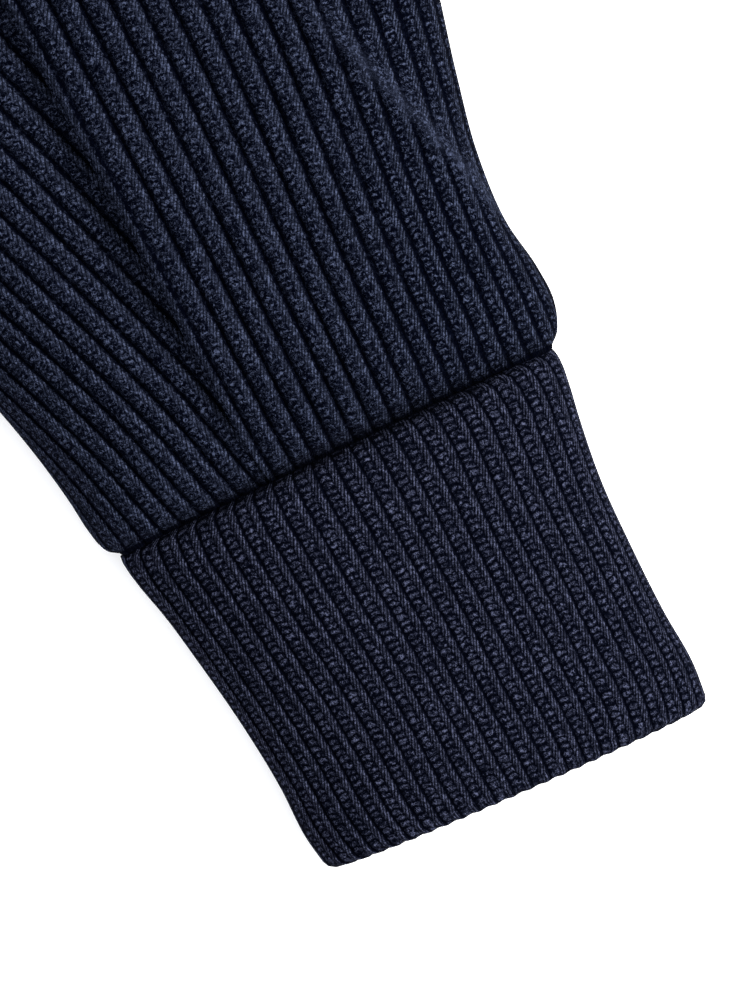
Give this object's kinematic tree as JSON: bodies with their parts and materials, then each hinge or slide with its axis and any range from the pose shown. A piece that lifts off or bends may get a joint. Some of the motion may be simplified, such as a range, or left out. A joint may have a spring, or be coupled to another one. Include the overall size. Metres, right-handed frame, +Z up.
{
  "type": "ribbed knit jacket",
  "caption": "Button-front ribbed knit jacket laid flat, with long sleeves and doubled rib cuffs, hem, neck and front bands.",
  "frame": {"origin": "middle of the jacket's bounding box, on the surface it lies on", "axes": "+X towards the wearer's left sleeve, +Y towards the neck, +Z up out of the surface"},
  "size_m": [1.1112, 0.7128, 0.0337],
  "materials": {
    "knit": "brushed wide rib, dark navy melange, matte with soft nap",
    "rib": "fine 1x1 rib, dark navy melange, matte",
    "button": "satin dark navy resin"
  },
  "bodies": {
    "root": {"back": "knit", "front_left": "knit", "front_right": "knit", "sleeve_left": "knit", "sleeve_right": "knit", "cuff_left": "rib", "cuff_right": "rib", "hem_back": "rib", "hem_front_left": "rib", "hem_front_right": "rib", "collar": "rib", "band_left": "rib", "band_right": "rib", "button_1": "button", "button_2": "button", "button_3": "button", "button_4": "button", "button_5": "button"}
  },
  "joints": []
}
